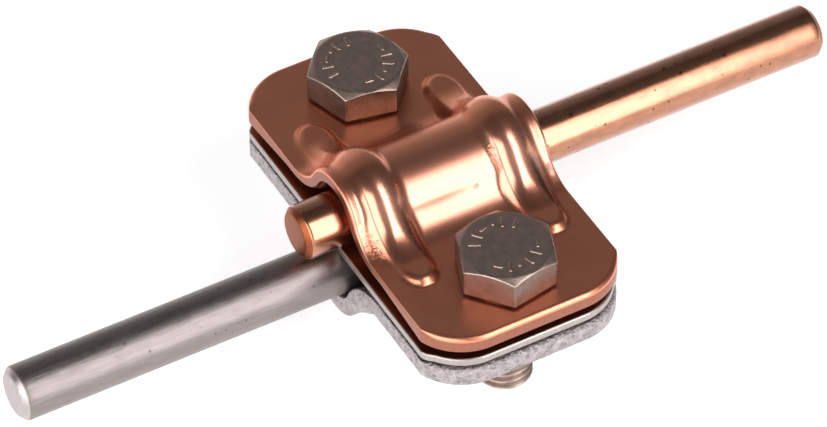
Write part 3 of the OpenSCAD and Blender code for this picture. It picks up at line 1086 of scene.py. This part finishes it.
# The dome's levels, by the share of the way from front to back
DOME_FRONT = 0.40
DOME_BACK = 0.62
DOME_BETWEEN = ((0.2, 0.25), (0.45, 0.11), (0.72, 0.09), (0.80, 0.20), (0.90, 0.25))

# The camera: its direction, its place from the middle of the upper flat and its lens, in millimetres
AZIMUTH = math.radians(-29.487)
ELEVATION = math.radians(45.113)
EYE_BACK = 797.685
EYE_RIGHT = -2.376
EYE_UP = -4.818
LENS = 250.0
SENSOR_W = 36.0


def put(name, data, right, up, back, at):
    """An object in the scene with given axes, at a place in metres."""
    holder = new_object(name, data)
    matrix = np.eye(4)
    matrix[:3] = np.stack([right, up, back, at], 1)
    holder.matrix_world = Matrix(matrix.tolist())
    return holder


def floor():
    """A wide pale floor under the bolt tips, whose glow, for the eye and for mirrors, makes it white."""
    mesh = bpy.data.meshes.new("floor")
    corners = [(x * FLOOR_HALF, y * FLOOR_HALF, FLOOR_Z) for x, y in ((-1, -1), (1, -1), (1, 1), (-1, 1))]
    mesh.from_pydata(corners, [], [(0, 1, 2, 3)])
    material = bpy.data.materials.new("floor")
    material.use_nodes = True
    wiring = Wiring(material.node_tree)
    shader = material.node_tree.nodes["Principled BSDF"]
    looks = {"Base Color": (0.9, 0.9, 0.9, 1), "Roughness": 0.9, "Specular IOR Level": 0.0,
             "Emission Color": (1, 1, 1, 1)}
    for name, value in looks.items():
        shader.inputs[name].default_value = value
    path = wiring.add("ShaderNodeLightPath").outputs
    seen = wiring.math("MAXIMUM", wiring.math("MAXIMUM", path["Is Camera Ray"], path["Is Glossy Ray"]),
                       path["Is Transmission Ray"])
    wiring.tree.links.new(wiring.math("MULTIPLY", seen, FLOOR_GLOW), shader.inputs["Emission Strength"])
    mesh.materials.append(material)
    plane = new_object("floor", mesh)


def softbox(name, across, over, wide, tall, radiance):
    """A rectangular lamp one metre away that faces the clamp, its upright sides square to the conductors.

    In degrees, across is how far it stands to the right of the front, and over is how far that direction is
    turned up about the conductors. wide and tall are the lamp's spans, seen from the clamp.
    """
    width, height = (2 * math.tan(math.radians(span) / 2) for span in (wide, tall))
    lamp = bpy.data.lights.new(name, "AREA")
    lamp.shape = "RECTANGLE"
    lamp.size, lamp.size_y = width, height
    lamp.energy = radiance * math.pi * width * height
    a, o = math.radians(across), math.radians(over)
    back = np.array([math.sin(a), -math.cos(a) * math.cos(o), math.cos(a) * math.sin(o)])
    up = np.array([0, math.sin(o), math.cos(o)])
    holder = put(name, lamp, np.cross(up, back), up, back, back)
    holder.visible_camera = False


def dome():
    """A dim studio room: light in front, dark between front and back, and lightest at the back."""
    world = bpy.data.worlds.new("studio")
    bpy.context.scene.world = world
    world.use_nodes = True
    wiring = Wiring(world.node_tree)
    split = wiring.add("ShaderNodeSeparateXYZ", {0: wiring.add("ShaderNodeTexCoord").outputs["Generated"]})
    share = wiring.math("MULTIPLY_ADD", split.outputs["Y"], 0.5, 0.5)
    ramp = wiring.add("ShaderNodeValToRGB", {0: share})
    stops = ramp.color_ramp.elements
    for stop, position, level in ((stops[0], 0.0, DOME_FRONT), (stops[1], 1.0, DOME_BACK)):
        stop.position = position
        stop.color = (level, level, level, 1)
    for position, level in DOME_BETWEEN:
        stops.new(position).color = (level, level, level, 1)
    wiring.tree.links.new(ramp.outputs[0], world.node_tree.nodes["Background"].inputs["Color"])


def camera():
    """The photograph's view, for a frame of 827 by 427 pixels."""
    level = math.cos(ELEVATION)
    back = np.array([math.sin(AZIMUTH) * level, -math.cos(AZIMUTH) * level, math.sin(ELEVATION)])
    right = np.array([math.cos(AZIMUTH), math.sin(AZIMUTH), 0])
    up = np.cross(back, right)
    eye = np.array([CLAMP_X, 0, UPPER_FLAT]) + EYE_BACK * back + EYE_RIGHT * right + EYE_UP * up
    data = bpy.data.cameras.new("camera")
    data.lens, data.sensor_width = LENS, SENSOR_W
    data.clip_start, data.clip_end = 0.01, 20
    bpy.context.scene.camera = put("camera", data, right, up, back, eye * MM)


floor()
softbox("left_softbox", across=-60, over=30, wide=70, tall=60, radiance=2.7)
softbox("right_softbox", across=19, over=32, wide=18, tall=70, radiance=5.2)
dome()
camera()
bpy.context.scene.view_settings.view_transform = "Standard"
